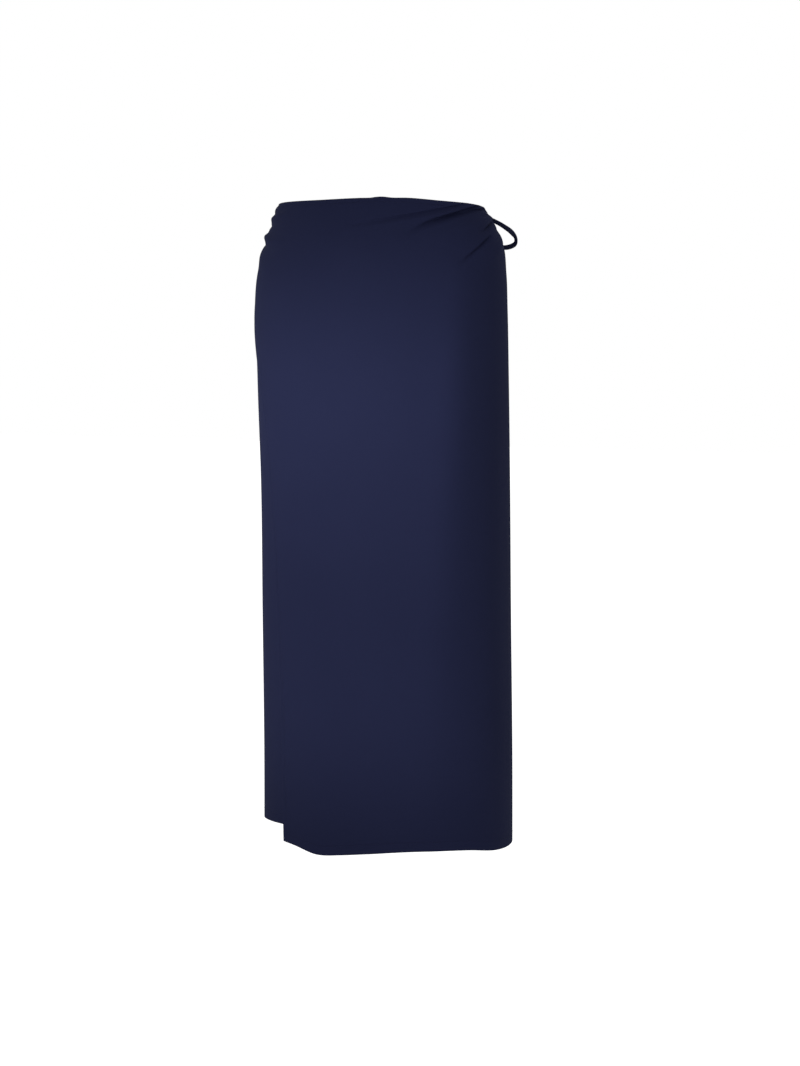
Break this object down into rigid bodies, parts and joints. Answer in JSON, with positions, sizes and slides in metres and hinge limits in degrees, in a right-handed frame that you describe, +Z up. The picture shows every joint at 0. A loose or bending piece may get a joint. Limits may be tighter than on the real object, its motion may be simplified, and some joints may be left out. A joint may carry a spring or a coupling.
{
  "type": "wrap skirt",
  "caption": "Long plain wrap skirt in its worn, hollow shape: overlapping front panels drawn into side folds and tied with a half bow behind the left hip.",
  "frame": {"origin": "centre of the waist opening, level with the waist edge, where the wearer's waist holds the skirt up", "axes": "+Z up, from the hem to the waist; -Y is the front of the skirt; +X is the wearer's left"},
  "size_m": [0.3912, 0.2817, 0.9376],
  "materials": {
    "cloth": "plain dark navy woven cloth, smooth and matt with a faint soft sheen",
    "tie": "narrow sewn tube of the same dark navy cloth, pressed flat"
  },
  "bodies": {
    "root": {"front_panel": "cloth", "back_panel": "cloth", "under_panel": "cloth", "tie_round_back": "tie", "tie_from_inside": "tie", "tie_knot": "tie", "tie_loop": "tie", "tie_end_long": "tie", "tie_end_short": "tie"}
  },
  "joints": []
}
